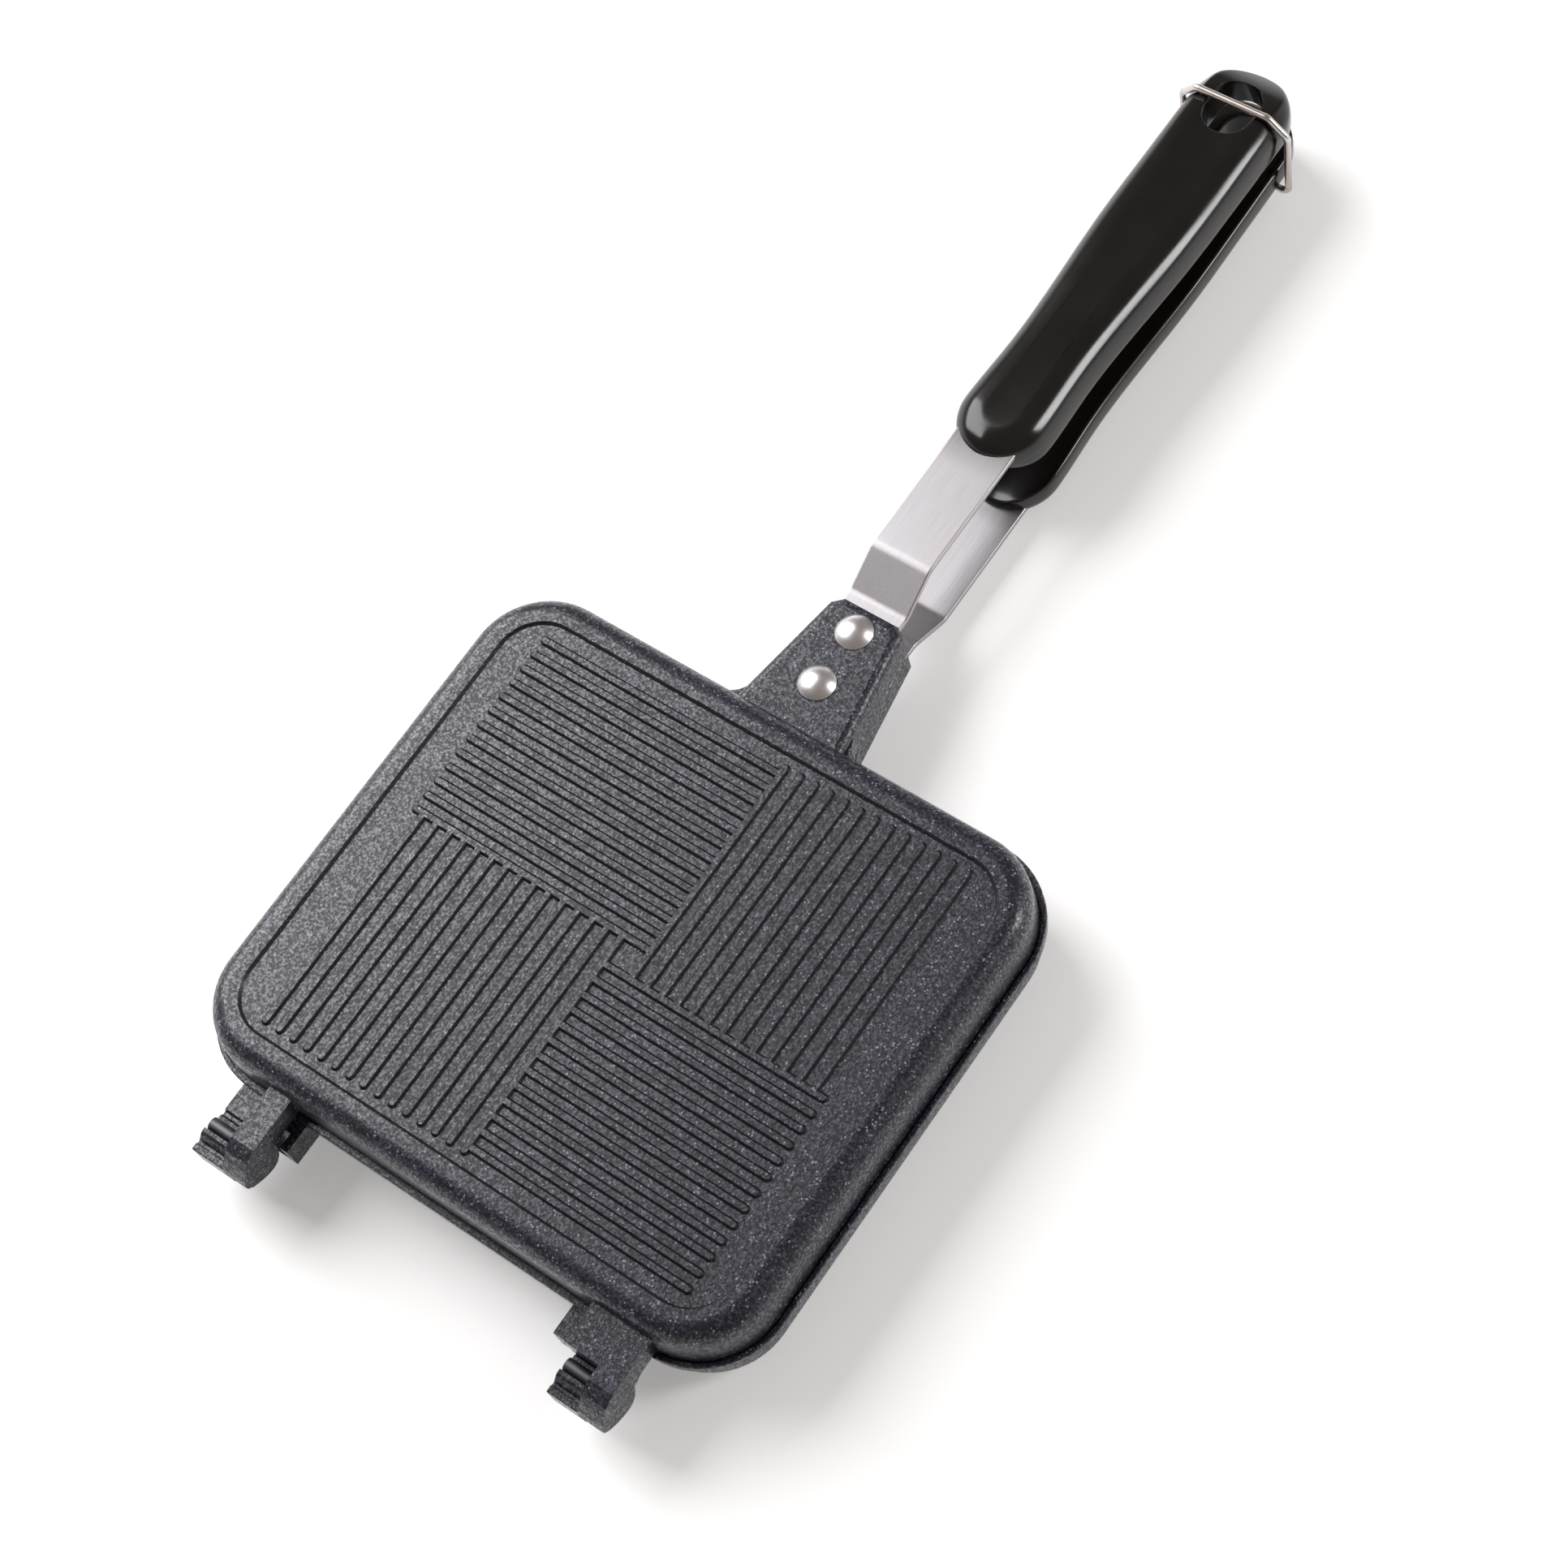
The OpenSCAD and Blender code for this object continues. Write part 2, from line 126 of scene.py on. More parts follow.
class Nodes:
    """A node tree that is written as expressions."""

    def __init__(self, tree):
        self.tree = tree
        self.tree.nodes.clear()

    def feed(self, socket, value):
        if isinstance(value, Value):
            self.tree.links.new(value.socket, socket)
        elif socket.type == "RGBA" and len(value) == 3:
            socket.default_value = (*value, 1)
        else:
            socket.default_value = value

    def add(self, kind, settings, inputs):
        """The one way that a node is made: its type, its settings, then its sockets."""
        node = self.tree.nodes.new(kind)
        for key, value in settings.items():
            setattr(node, key, value)
        for key, value in inputs.items():
            self.feed(node.inputs[key], value)
        return Made(self, node)

    def blend(self, factor, first, second):
        node = self.add("ShaderNodeMix", {"data_type": "RGBA"}, {0: factor, 6: first, 7: second})
        return node.out(2)


class Finish(Nodes):
    """One material: a Principled shader and what feeds it."""

    def __init__(self, name, color, roughness, metallic=0.0, **constants):
        self.material = bpy.data.materials.new(name)
        self.material.use_nodes = True
        self.material.diffuse_color = (*color[:3], 1)
        super().__init__(self.material.node_tree)
        self.shader = self.add("ShaderNodeBsdfPrincipled", {}, {})
        self.set(Base_Color=color, Roughness=roughness, Metallic=metallic, **constants)
        self.add("ShaderNodeOutputMaterial", {}, {"Surface": self.shader.out("BSDF")})
        self.place = self.add("ShaderNodeTexCoord", {}, {}).out("Object")

    def stretched(self, scale):
        """Object coordinates scaled per axis."""
        inputs = {"Vector": self.place, "Scale": scale}
        return self.add("ShaderNodeMapping", {"vector_type": "POINT"}, inputs).out()

    def noise(self, size, detail=2.0, rough=0.5, at=None):
        inputs = {"Vector": at or self.place, "Scale": 1 / size}
        inputs.update({"Detail": detail, "Roughness": rough})
        return self.add("ShaderNodeTexNoise", {}, inputs).out(0)

    def cells(self, size):
        inputs = {"Vector": self.place, "Scale": 1 / size}
        return self.add("ShaderNodeTexVoronoi", {"feature": "F1"}, inputs).out("Distance")

    def bump(self, height, depth, strength):
        inputs = {"Height": height, "Distance": depth, "Strength": strength}
        return self.add("ShaderNodeBump", {}, inputs).out()

    def set(self, **sockets):
        for name, value in sockets.items():
            self.feed(self.shader.node.inputs[name.replace("_", " ")], value)


# ---------------------------------------------------------------- settings
class CastSettings(bpy.types.PropertyGroup):
    """The coated castings."""

    color: FloatVectorProperty(
        name="Coat colour",
        description="Ground colour of the non-stick coat",
        subtype="COLOR",
        default=(0.017, 0.0165, 0.027),
        min=0,
        max=1,
    )
    fleck: FloatVectorProperty(
        name="Fleck colour",
        description="Colour of the pale flecks in the coat",
        subtype="COLOR",
        default=(0.31, 0.31, 0.41),
        min=0,
        max=1,
    )
    grain: FloatProperty(
        name="Grain",
        description="Size of the coat's grain",
        default=0.0008,
        unit="LENGTH",
        precision=5,
    )
    roughness: FloatProperty(
        name="Roughness", description="Roughness of the coat", default=0.4, subtype="FACTOR"
    )


class SteelSettings(bpy.types.PropertyGroup):
    """Straps, rivets, pins and wire."""

    strap: FloatVectorProperty(
        name="Strap colour",
        description="Colour of the brushed straps",
        subtype="COLOR",
        default=(0.45, 0.432, 0.445),
        min=0,
        max=1,
    )
    wire: FloatVectorProperty(
        name="Wire colour",
        description="Colour of the drawn wire",
        subtype="COLOR",
        default=(0.62, 0.57, 0.54),
        min=0,
        max=1,
    )
    width: FloatProperty(
        name="Strap width",
        description="Width of a strap",
        default=0.0175,
        unit="LENGTH",
        precision=4,
    )
    thickness: FloatProperty(
        name="Strap thickness",
        description="Thickness of a strap",
        default=0.0016,
        unit="LENGTH",
        precision=4,
    )
    rise: FloatProperty(
        name="Strap rise",
        description="Height of the strap's double bend",
        default=0.006,
        unit="LENGTH",
        precision=4,
    )


class GripSettings(bpy.types.PropertyGroup):
    """The moulded grips."""

    color: FloatVectorProperty(
        name="Grip colour",
        description="Colour of the black phenolic",
        subtype="COLOR",
        default=(0.0055, 0.0046, 0.0042),
        min=0,
        max=1,
    )
    roughness: FloatProperty(
        name="Roughness", description="Roughness of the grips", default=0.17, subtype="FACTOR"
    )
    front: FloatProperty(
        name="Front", description="Y of the grip's nose", default=0.156, unit="LENGTH", precision=4
    )
    end: FloatProperty(
        name="End", description="Y of the grip's tip", default=0.291, unit="LENGTH", precision=4
    )
    width: FloatProperty(
        name="Width", description="Width at the tip", default=0.0282, unit="LENGTH", precision=4
    )
    waist: FloatProperty(
        name="Waist", description="Width at the waist", default=0.024, unit="LENGTH", precision=4
    )
    thickness: FloatProperty(
        name="Thickness",
        description="Thickness of one grip",
        default=0.011,
        unit="LENGTH",
        precision=4,
    )


class StageSettings(bpy.types.PropertyGroup):
    """Camera, floor and lamps."""

    lens: FloatProperty(
        name="Lens", description="Focal length in mm on a 36 mm frame", default=76.25, min=10
    )
    floor: FloatVectorProperty(
        name="Floor colour",
        description="Colour of the floor",
        subtype="COLOR",
        default=(0.94, 0.94, 0.94),
        min=0,
        max=1,
    )
    key: FloatProperty(
        name="Key power", description="Power of the large soft lamp in watts", default=30, min=0
    )
    side: FloatProperty(
        name="Side power", description="Power of the low side lamp in watts", default=8, min=0
    )


GROUPS = {
    "iron_cast": CastSettings,
    "iron_steel": SteelSettings,
    "iron_grip": GripSettings,
    "iron_stage": StageSettings,
}


# ---------------------------------------------------------------- making pieces
def paint(finish, *nodes):
    """Gives a finish to CAD nodes, whose meshes stay as they are."""
    for name in nodes:
        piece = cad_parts[name]
        piece.data.materials.clear()
        piece.data.materials.append(finish.material)


def extend(work, ring, places):
    """Extrudes a closed ring of vertices once and moves the new ring to its places."""
    edges = [work.edges.get(pair) for pair in zip(ring, ring[1:] + ring[:1])]
    made = bmesh.ops.extrude_edge_only(work, edges=edges)["geom"]
    fresh = {item for item in made if isinstance(item, bmesh.types.BMVert)}
    moved = []
    for corner, place in zip(ring, places):
        near = [edge.other_vert(corner) for edge in corner.link_edges]
        new = next(vert for vert in near if vert in fresh)
        new.co = place
        moved.append(new)
    return moved


def lofted(name, rings, hollow):
    """A closed shell through rings of places: a hollow one joins its last ring to its first."""
    work = bmesh.new()
    first = [work.verts.new(place) for place in rings[0]]
    for pair in zip(first, first[1:] + first[:1]):
        work.edges.new(pair)
    last = first
    for places in rings[1:]:
        last = extend(work, last, places)
    if hollow:
        extend(work, last, rings[0])
    else:
        for ring in (first, last):
            edges = [work.edges.get(pair) for pair in zip(ring, ring[1:] + ring[:1])]
            bmesh.ops.edgeloop_fill(work, edges=edges)
    bmesh.ops.remove_doubles(work, verts=work.verts, dist=0.000002)
    bmesh.ops.recalc_face_normals(work, faces=work.faces)
    mesh = bpy.data.meshes.new(name)
    work.to_mesh(mesh)
    work.free()
    mesh.shade_smooth()
    piece = bpy.data.objects.new(name, mesh)
    bpy.context.scene.collection.objects.link(piece)
    return piece


def fit(piece, finish, body, node):
    """Puts a finished piece in the place of a CAD node."""
    piece.data.materials.append(finish.material)
    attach(piece, body)
    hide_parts(node)


# ---------------------------------------------------------------- grips
def ease(t):
    """0 to 1 with a soft start and end."""
    t = min(1.0, max(0.0, t))
    return t * t * (3 - 2 * t)


def round_in(t):
    """0 to 1 along a quarter circle, steep at its start."""
    return math.sqrt(max(0.0, 1 - (1 - min(1.0, t)) ** 2))


class GripForm:
    """The moulded form of one grip, in millimetres, with heights from the seam."""

    # Length and half width of the nose, how thin it gets and how far it rises.
    NOSE, NOSE_HALF, NOSE_LIFT, NOSE_UP = 13, 12.75, 2.6, 1.2
    WAIST_AT, WIDE_AT = 191, 240
    # Height of the middle at one place, and its fall per millimetre from there.
    MIDDLE, MIDDLE_AT, FALL = 11.6, 172, 0.0278
    TIP_ROUND, TIP_LIFT = 5.5, 1.5
    STATIONS = (174, 179, 185, 191, 198, 206, 215, 224, 233, 242, 251, 259, 266, 272)
    SLOT_NEAR, SLOT_FAR, SLOT_R = 273.4, 278.6, 6.6
    BEVEL, CHAMFER, ROUNDING = 0.7, 1.0, 8
    # Where the clip turns, how far its bar stays from there, and the legs' room.
    AXIS_Y, AXIS_Z = 273.9, -11.5
    SWING_R, LEG_R, LEG_HALF = 25.58, 21.25, 14.2

    def __init__(self, s):
        self.front = s.front / MM
        self.end = s.end / MM - 0.02
        self.wide = s.width / MM / 2
        self.waist = s.waist / MM / 2
        self.thick = s.thickness / MM / 2 - 0.02
        self.tip = self.end - self.wide

    def half(self, y):
        """Half of the width along the sides."""
        front = self.front + self.NOSE
        if y < self.WAIST_AT:
            share = ease((y - front) / (self.WAIST_AT - front))
            return self.NOSE_HALF + (self.waist - self.NOSE_HALF) * share
        share = ease((y - self.WAIST_AT) / (self.WIDE_AT - self.WAIST_AT))
        return self.waist + (self.wide - self.waist) * share

    def middle(self, y):
        """Height of the grip's middle plane, which falls gently to the tip."""
        nose = self.NOSE_UP * (1 - round_in((y - self.front) / self.NOSE))
        return self.MIDDLE - (y - self.MIDDLE_AT) * self.FALL + nose

    def lift(self, y):
        """Half of the thickness."""
        t = (y - self.end + self.TIP_ROUND) / self.TIP_ROUND
        rounding = math.sqrt(max(0.0, 1 - max(0.0, t) ** 2))
        share = round_in((y - self.front) / self.NOSE)
        nose = self.NOSE_LIFT + (self.thick - self.NOSE_LIFT) * share
        return min(nose, self.TIP_LIFT + (self.thick - self.TIP_LIFT) * rounding)

    def outline(self):
        """Half of the plan from nose to tip: places and outward directions."""
        places = []
        for step in range(9):
            a = math.radians(90 * step / 8)
            y = self.front + self.NOSE * (1 - math.cos(a))
            places.append((self.NOSE_HALF * math.sin(a), y))
        for y in self.STATIONS:
            places.append((self.half(y), y))
        for step in range(10):
            a = math.radians(90 * step / 9)
            places.append((self.wide * math.cos(a), self.tip + self.wide * math.sin(a)))
        places[-1] = (0.0, self.end)
        facing = [Vector((0, -1))]
        for before, after in zip(places, places[2:]):
            facing.append(Vector((after[1] - before[1], before[0] - after[0])).normalized())
        facing.append(Vector((0, 1)))
        return [Vector(p) for p in places], facing

    def rings(self, upper):
        """Rings from the slot's lower edge out, up the side and back into the slot."""
        places, facing = self.outline()
        run = [0.0]
        for a, b in zip(places, places[1:]):
            run.append(run[-1] + (b - a).length)
        marks = ((0, 0), (20, 0.13), (100, 0.32), (run[-1] - 22, 0.5), (run[-1], 1))

        def share(u):
            """How far round the slot lies the place that answers to u along the outline."""
            for (u0, s0), (u1, s1) in zip(marks, marks[1:]):
                if u <= u1 + 0.001:
                    return s0 + (s1 - s0) * (u - u0) / (u1 - u0)
            return 1.0

        def slot(r):
            """The hanging slot's outline in plan."""
            near, far = self.SLOT_NEAR, self.SLOT_FAR
            found = []
            for u in run:
                a = math.radians(180 * share(u) - 90)
                centre = near if a < 0 else far
                if abs(a) < 0.0001:
                    centre = (near + far) / 2
                found.append(Vector((r * math.cos(a), centre + r * math.sin(a))))
            return found

        def inset(amount):
            """The outline moved inwards by an amount that may change along it."""
            return [p - n * amount(p) for p, n in zip(places, facing)]

        def turn(p):
            """Width of the upper edge's rounding: less beside the slot and at the tip."""
            room = self.ROUNDING - 1.6 * ease((p.y - 250) / 20)
            return room - 2.2 * ease((p.y - 279) / 12)

        def height(p, up, down=0.0):
            return self.middle(p.y) + self.lift(p.y) * up + down

        low = [(q, height(q, -1)) for q in slot(self.SLOT_R)]
        edge = [(q, height(q, -1)) for q in inset(lambda p: self.CHAMFER)]
        half_rings = [low]
        for t in (0.3, 0.7):
            mixed = [a[0].lerp(b[0], t) for a, b in zip(low, edge)]
            half_rings.append([(q, height(q, -1)) for q in mixed])
        half_rings.append(edge)
        half_rings.append([(q, height(q, -1, 0.3)) for q in inset(lambda p: 0.3)])
        half_rings.append([(q, height(q, -1, 1.0)) for q in places])
        for step in range(10):
            a = math.radians(90 * step / 9)
            ring = []
            for p, q in zip(places, inset(lambda p: turn(p) * (1 - math.cos(a)))):
                rz = min(6.5, 1.25 * self.lift(p.y)) * (1 - math.sin(a))
                ring.append((q, max(height(q, 1, -rz), height(p, -1, 1.02))))
            half_rings.append(ring)
        top = [(q, height(q, 1)) for q in inset(turn)]
        mouth = [(q, height(q, 1)) for q in slot(self.SLOT_R + self.BEVEL)]
        for t in (0.1, 0.4, 0.7, 0.93):
            mixed = [a[0].lerp(b[0], t) for a, b in zip(top, mouth)]
            half_rings.append([(q, height(q, 1)) for q in mixed])
        half_rings.append(mouth)
        half_rings.append([(q, height(q, 1, -0.35)) for q in slot(self.SLOT_R + 0.22)])
        half_rings.append([(q, height(q, 1, -1.0)) for q in slot(self.SLOT_R)])
        half_rings.append([(q, height(q, -1, 0.5)) for q in slot(self.SLOT_R)])
        return self.placed(half_rings, upper)

    def placed(self, half_rings, upper):
        """Mirrors half rings to whole ones, in metres, on their side of the seam."""
        side = 1 if upper else -1
        done = []
        for ring in half_rings:
            right = [self.room(q.x, q.y, z) if upper else (q.x, q.y, z) for q, z in ring]
            left = [(-x, y, z) for x, y, z in right[-2:0:-1]]
            whole = right + left
            done.append([Vector((x * MM, y * MM, SEAM + side * z * MM)) for x, y, z in whole])
        return done

    def room(self, x, y, z):
        """Keeps a place out of the way of the clip as it swings over the tip."""
        dy, dz = y - self.AXIS_Y, z - self.AXIS_Z
        if dy <= -5:
            return x, y, z
        reach = math.hypot(dy, dz)
        limit = self.SWING_R + 0.4 * (1 - ease(dy / 1.5))
        if dy > 0 and reach > limit:
            dy, dz, reach = dy * limit / reach, dz * limit / reach, limit
        side = self.LEG_HALF - 4 * min(1.0, max(0.0, (reach - self.LEG_R) / 4.37))
        side += 2 * (1 - ease((dy + 5) / 5))
        return min(x, side), self.AXIS_Y + dy, self.AXIS_Z + dz


class IRON_OT_grips(bpy.types.Operator):
    """Models both grips as smooth mouldings with their hanging slots"""

    bl_idname = "iron.grips"
    bl_label = "Grips"

    def execute(self, context):
        s = context.scene.iron_grip
        gloss = Finish("black phenolic", s.color, s.roughness)
        swirl = gloss.noise(0.018, 3, 0.6)
        dust = gloss.noise(0.0009, 2, 0.6)
        deep, worn = tuple(s.color), tuple(c * 1.5 for c in s.color)
        gloss.set(
            Base_Color=gloss.blend(swirl.step(0.35, 0.75), deep, worn),
            Roughness=s.roughness + (swirl - 0.5) * 0.08 + dust.step(0.6, 0.8) * 0.06,
            Normal=gloss.bump(gloss.noise(0.007, 2), 0.00005, 0.35),
        )
        form = GripForm(s)
        for half, body, side in HALVES:
            grip = lofted("grip_" + half, form.rings(side > 0), hollow=True)
            smooth = grip.modifiers.new("smooth", "SUBSURF")
            smooth.levels = smooth.render_levels = 2
            fit(grip, gloss, body, half + "_grip")
        return {"FINISHED"}


# ---------------------------------------------------------------- metalwork
# Along Y in millimetres: both ends of a strap and where its double bend starts.
STRAP_ENDS = (77, 232)
BEND_AT = 109.6
# Height of its middle above the seam in the lug, and radius and slope of the bend.
STRAP_LOW = 6.7
BEND_R, BEND_SLOPE = 5.0, 27


def strap_path(rise):
    """Middle line of a strap in millimetres: places and directions of travel."""
    low, start, radius, slope = STRAP_LOW, BEND_AT, BEND_R, BEND_SLOPE
    sine, cosine = math.sin(math.radians(slope)), math.cos(math.radians(slope))
    run = (rise - 2 * radius * (1 - cosine)) / math.tan(math.radians(slope))
    high = start + 2 * radius * sine + run
    path = [(STRAP_ENDS[0], low, 0), (92, low, 0), (108, low, 0)]
    for step in range(9):
        a = math.radians(slope * step / 8)
        path.append((start + radius * math.sin(a), low + radius * (1 - math.cos(a)), a))
    for step in range(8, -1, -1):
        a = math.radians(slope * step / 8)
        path.append((high - radius * math.sin(a), low + rise - radius * (1 - math.cos(a)), a))
    high_line = (high + 1.5, 150, STRAP_ENDS[1])
    return path + [(y, low + rise, 0) for y in high_line]


def strap_section(width, thickness, edge=0.36):
    """Rounded section of a strap: places across and up, in millimetres."""
    corner = []
    for step in range(5):
        a = math.radians(90 * step / 4)
        x = width / 2 - edge + edge * math.cos(a)
        corner.append((x, thickness / 2 - edge + edge * math.sin(a)))
    corner += [(x, thickness / 2) for x in (width / 2 - edge - 0.15, width / 4, 0)]
    left = [(-x, z) for x, z in corner[-2::-1]]
    upper = corner + left
    return upper + [(-x, -z) for x, z in upper]


class IRON_OT_straps(bpy.types.Operator):
    """Models both straps with softened edges and a double bend"""

    bl_idname = "iron.straps"
    bl_label = "Straps"

    def execute(self, context):
        s = context.scene.iron_steel
        steel = Finish("brushed strap", s.strap, 0.34, 1.0)
        lines = steel.noise(0.00035, 3, 0.6, steel.stretched((1, 0.03, 1)))
        cloud = steel.noise(0.012, 2)
        dull, bright = tuple(c * 0.9 for c in s.strap), tuple(s.strap)
        steel.set(
            Base_Color=steel.blend(lines.step(0.3, 0.7), dull, bright),
            Roughness=0.34 + lines * 0.1 + (cloud - 0.5) * 0.1,
            Normal=steel.bump(lines, 0.00003, 0.5),
        )
        section = strap_section(s.width / MM, s.thickness / MM)
        path = strap_path(s.rise / MM)
        for half, body, side in HALVES:
            rings = []
            for y, z, a in path:
                ring = []
                for across, up in section:
                    place = (across, y - up * math.sin(a), side * (z + up * math.cos(a)))
                    ring.append(Vector(place) * MM + Vector((0, 0, SEAM)))
                rings.append(ring)
            strap = lofted("strap_" + half, rings, hollow=False)
            fit(strap, steel, body, half + "_strap")
        return {"FINISHED"}


class IRON_OT_metalwork(bpy.types.Operator):
    """Models the domed rivets and finishes pins and wire"""

    bl_idname = "iron.metalwork"
    bl_label = "Rivets, pins and wire"

    # Each rivet's place along Y, the radii of shank and head, and the dome's rise.
    RIVETS = (("near", 84.5 * MM), ("far", 100.7 * MM))
    SHANK, HEAD, RISE = 2.6 * MM, 5.1 * MM, 2.3 * MM
    DOME_STEPS, ROUND = 15, 48

    def execute(self, context):
        s = context.scene.iron_steel
        polish = Finish("polished rivet", (0.82, 0.80, 0.82), 0.3, 1.0)
        scuff = polish.noise(0.0016, 3, 0.6)
        polish.set(
            Roughness=0.27 + scuff * 0.12,
            Normal=polish.bump(scuff, 0.00006, 0.3),
        )
        for half, body, side in HALVES:
            for where, y in self.RIVETS:
                node = half + "_rivet_" + where
                low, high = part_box(node)
                head = high[2] if side > 0 else low[2]
                tail = low[2] if side > 0 else high[2]
                rings = self.rings(y, head, tail, side)
                rivet = lofted("rivet_" + half + "_" + where, rings, hollow=False)
                fit(rivet, polish, body, node)
        pin = Finish("pin steel", (0.13, 0.13, 0.14), 0.5, 1.0)
        pin.set(Roughness=0.44 + pin.noise(0.001, 2) * 0.12)
        paint(pin, "hinge_pin_left", "hinge_pin_right")
        wire = Finish("drawn wire", s.wire, 0.26, 1.0)
        drawn = wire.noise(0.0004, 2, 0.5, wire.stretched((0.1, 1, 1)))
        wire.set(Roughness=0.24 + drawn * 0.1, Normal=wire.bump(drawn, 0.000004, 0.3))
        paint(wire, "wire_clip")
        return {"FINISHED"}

    def rings(self, y, head, tail, side):
        """Rings of a rivet from its tail, along its shank and over its domed head."""
        shank, wide, rise, steps = self.SHANK, self.HEAD, self.RISE, self.DOME_STEPS
        edge = 0.1 * MM
        base = head - side * rise
        curve = (wide * wide + rise * rise) / (2 * rise)
        spread = math.asin(wide / curve)
        profile = [(0.2 * shank, tail), (shank - edge, tail), (shank, tail + side * edge)]
        profile += [(shank, base), (wide - 1.5 * edge, base), (wide, base + side * 0.5 * edge)]
        for step in range(1, steps):
            a = spread * (1 - step / steps)
            profile.append((curve * math.sin(a), head - side * curve * (1 - math.cos(a))))
        turns = [math.tau * k / self.ROUND for k in range(self.ROUND)]
        rings = []
        for radius, z in profile:
            around = [(radius * math.cos(a), y + radius * math.sin(a), z) for a in turns]
            rings.append([Vector(place) for place in around])
        return rings


# ---------------------------------------------------------------- castings
class IRON_OT_castings(bpy.types.Operator):
    """Coats both castings with the speckled non-stick finish, with painted shade on the ribs'
    flanks
    """

    bl_idname = "iron.castings"
    bl_label = "Castings"

    # Where the painted shade on the flanks stops at the ring's inner edge, across and along, and
    # the flanks' foot and top.
    EDGE_X = (75.2 * MM, 75.6 * MM)
    EDGE_Y = (64.3 * MM, 64.7 * MM)
    FOOT = (13.72 * MM, 13.85 * MM)
    TOP = (14.3 * MM, 14.47 * MM)
    # How strongly painted shade darkens the flanks and hides the pale flecks there.
    PAINTED_SHADE = 0.8

    def execute(self, context):
        s = context.scene.iron_cast
        gloss = {"Specular_IOR_Level": 0.32, "Coat_Roughness": 0.25}
        coat = Finish("speckled coat", s.color, s.roughness, **gloss)
        grain = coat.noise(s.grain, 2, 0.7)
        coarse = coat.noise(s.grain * 2.6, 2, 0.6)
        broad = coat.noise(0.014, 2)
        flecks = 1 - coat.cells(s.grain * 1.2)
        pale = flecks.step(0.6, 0.95) * coarse.step(0.44, 0.62)
        # Dark and light grain of the coat, and a darker coat colour used as painted shade on the
        # ribs' flanks.
        dark, light, shade = (tuple(c * k for c in s.color) for k in (0.35, 2.3, 0.2))
        speckle = grain.step(0.42, 0.66)
        place = coat.add("ShaderNodeSeparateXYZ", {}, {0: coat.place})
        height = (place.out("Z") - SEAM).abs()
        within_x = 1 - place.out("X").abs().step(*self.EDGE_X)
        within_y = 1 - place.out("Y").abs().step(*self.EDGE_Y)
        above_field = height.step(*self.FOOT)
        below_top = 1 - height.step(*self.TOP)
        # The ribs' flanks, where shade is painted into the colour; the same mask also raises
        # roughness and thins the coat.
        flank_shade_mask = above_field * below_top * within_x * within_y
        ground = coat.blend(speckle, dark, light)
        # Painted shade: the flanks' colour is blended towards a darker coat colour, and the pale
        # flecks fade there.
        ground = coat.blend(flank_shade_mask * self.PAINTED_SHADE, ground, shade)
        coat.set(
            Base_Color=coat.blend(pale * (1 - flank_shade_mask * self.PAINTED_SHADE), ground, tuple(s.fleck)),
            Roughness=s.roughness + (broad - 0.5) * 0.06 - speckle * 0.08 + flank_shade_mask * 0.15,
            Coat_Weight=0.15 + speckle * (1 - flank_shade_mask) * 0.85,
            Normal=coat.bump(grain + coarse * 0.7, 0.00016, 0.9),
        )
        paint(coat, "upper_plate", "lower_plate")
        return {"FINISHED"}


# ---------------------------------------------------------------- stage
def lamp(name, place, aim, size, power, color):
    """A soft rectangular lamp at a place, turned towards its aim."""
    data = bpy.data.lights.new(name, "AREA")
    data.shape = "RECTANGLE"
    data.size, data.size_y = size
    data.energy = power
    data.color = color
    made = bpy.data.objects.new(name, data)
    bpy.context.scene.collection.objects.link(made)
    made.location = place
    made.rotation_euler = (Vector(aim) - Vector(place)).to_track_quat("-Z", "Y").to_euler()


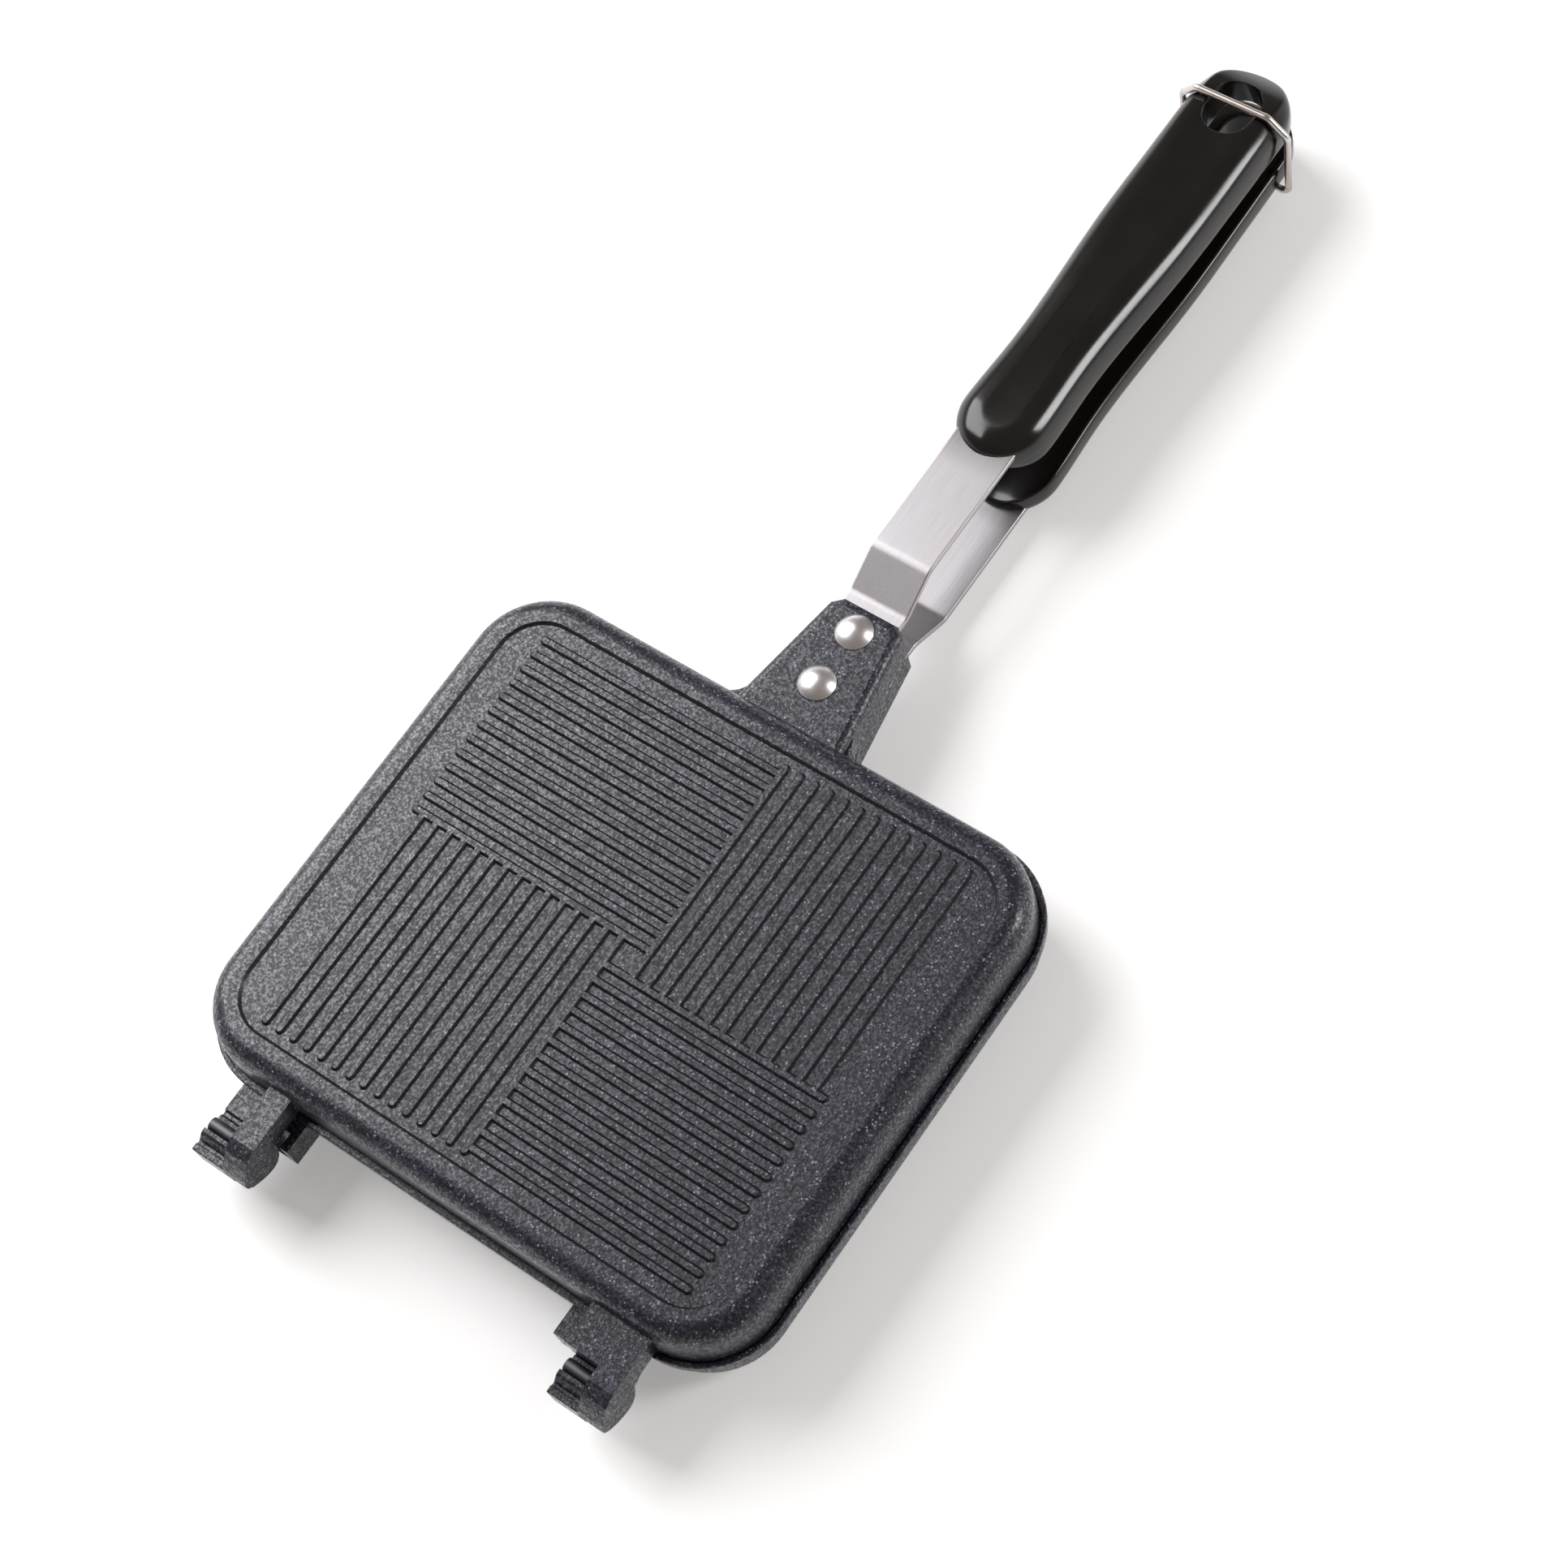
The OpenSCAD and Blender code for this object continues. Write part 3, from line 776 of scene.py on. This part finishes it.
class IRON_OT_stage(bpy.types.Operator):
    """Camera, floor and soft studio light"""

    bl_idname = "iron.stage"
    bl_label = "Stage"

    # The camera's place in metres, and its azimuth, elevation and roll in degrees.
    PLACE = (0.3221, -0.1482, 0.7378)
    AIM = (56.667, 62.304, -23.601)
    # Each lamp's place, what it is turned to, and its width and height.
    KEY = ((-1.17, 0.17, 1.1), (0, 0.05, 0), (1.2, 1.2))
    SIDE = ((1.0, 0.8, 0.72), (0, 0.15, 0), (0.3, 0.6))
    FLOOR_HALF, FLOOR_GAP = 12, 0.0003
    # The floor's own glow where it is seen: near the object, and what far away adds.
    GLOW_NEAR, GLOW_AWAY = 0.26, 0.55

    def execute(self, context):
        s = context.scene.iron_stage
        scene = context.scene
        self.camera(scene, s.lens)
        self.floor(scene, tuple(s.floor))
        self.room(scene)
        lamp("key", *self.KEY, s.key, (0.98, 0.985, 1))
        lamp("side", *self.SIDE, s.side, (1, 1, 1))
        scene.view_settings.view_transform = "Standard"
        return {"FINISHED"}

    def camera(self, scene, lens):
        """The photograph's camera."""
        azimuth, elevation, roll = (math.radians(a) for a in self.AIM)
        level = Vector((math.cos(azimuth), math.sin(azimuth), 0))
        forward = Vector((-math.sin(azimuth), math.cos(azimuth), 0)) * math.cos(elevation)
        forward.z = -math.sin(elevation)
        above = level.cross(forward)
        right = level * math.cos(roll) + above * math.sin(roll)
        up = above * math.cos(roll) - level * math.sin(roll)
        camera = bpy.data.objects.new("camera", bpy.data.cameras.new("camera"))
        scene.collection.objects.link(camera)
        camera.data.sensor_width = 36
        camera.data.lens = lens
        camera.data.clip_start = 0.01
        turn = Matrix((right, up, -forward)).transposed().to_4x4()
        camera.matrix_world = Matrix.Translation(self.PLACE) @ turn
        scene.camera = camera

    def floor(self, scene, color):
        """A plain pale floor just below the object."""
        mesh = bpy.data.meshes.new("floor")
        work = bmesh.new()
        bmesh.ops.create_grid(work, x_segments=1, y_segments=1, size=self.FLOOR_HALF)
        below = cad_box[0][2] - self.FLOOR_GAP
        bmesh.ops.translate(work, verts=work.verts, vec=(0, 0, below))
        work.to_mesh(mesh)
        work.free()
        floor = bpy.data.objects.new("floor", mesh)
        scene.collection.objects.link(floor)
        cloth = Finish("floor", color, 0.9, Specular_IOR_Level=0.1)
        path = cloth.add("ShaderNodeLightPath", {}, {})
        seen = path.out("Is Camera Ray") + path.out("Is Glossy Ray")
        seen = seen + path.out("Is Transmission Ray")
        place = cloth.add("ShaderNodeSeparateXYZ", {}, {0: cloth.place})
        away = place.out("X") * place.out("X") + place.out("Y") * place.out("Y")
        pale = seen * (self.GLOW_NEAR + self.GLOW_AWAY * away.step(0.15, 5.0))
        glow = cloth.blend(pale, (0, 0, 0), (1, 1, 1))
        cloth.set(Emission_Color=glow, Emission_Strength=1.0)
        mesh.materials.append(cloth.material)

    def room(self, scene):
        """A dim warm room with a pale horizon."""
        world = bpy.data.worlds.new("room")
        scene.world = world
        world.use_nodes = True
        nodes = Nodes(world.node_tree)
        place = nodes.add("ShaderNodeTexCoord", {}, {}).out("Generated")
        height = nodes.add("ShaderNodeSeparateXYZ", {}, {0: place}).out("Z")
        horizon, dim = (0.98, 0.975, 0.97), (0.22, 0.195, 0.175)
        color = nodes.blend(height.abs().step(0.06, 0.26), horizon, dim)
        back = nodes.add("ShaderNodeBackground", {}, {"Color": color, "Strength": 1.0})
        nodes.add("ShaderNodeOutputWorld", {}, {"Surface": back.out()})


class IRON_PT_panel(bpy.types.Panel):
    """Lists the steps in the sidebar"""

    bl_idname = "IRON_PT_panel"
    bl_label = "Sandwich iron"
    bl_space_type = "VIEW_3D"
    bl_region_type = "UI"
    bl_category = "Sandwich iron"

    def draw(self, context):
        for step in STEPS:
            self.layout.operator(step.bl_idname)
        for name in GROUPS:
            group = getattr(context.scene, name)
            box = self.layout.box()
            for key in group.bl_rna.properties.keys():
                if key not in ("rna_type", "name"):
                    box.prop(group, key)


STEPS = (IRON_OT_stage, IRON_OT_castings, IRON_OT_straps, IRON_OT_metalwork, IRON_OT_grips)
CLASSES = (*GROUPS.values(), *STEPS, IRON_PT_panel)


def register():
    for item in CLASSES:
        bpy.utils.register_class(item)
    for name, group in GROUPS.items():
        setattr(bpy.types.Scene, name, PointerProperty(type=group))


def unregister():
    for name in GROUPS:
        delattr(bpy.types.Scene, name)
    for item in reversed(CLASSES):
        bpy.utils.unregister_class(item)


def main():
    register()
    bpy.ops.iron.stage()
    bpy.ops.iron.castings()
    bpy.ops.iron.straps()
    bpy.ops.iron.metalwork()
    bpy.ops.iron.grips()


if __name__ == "__main__":
    main()
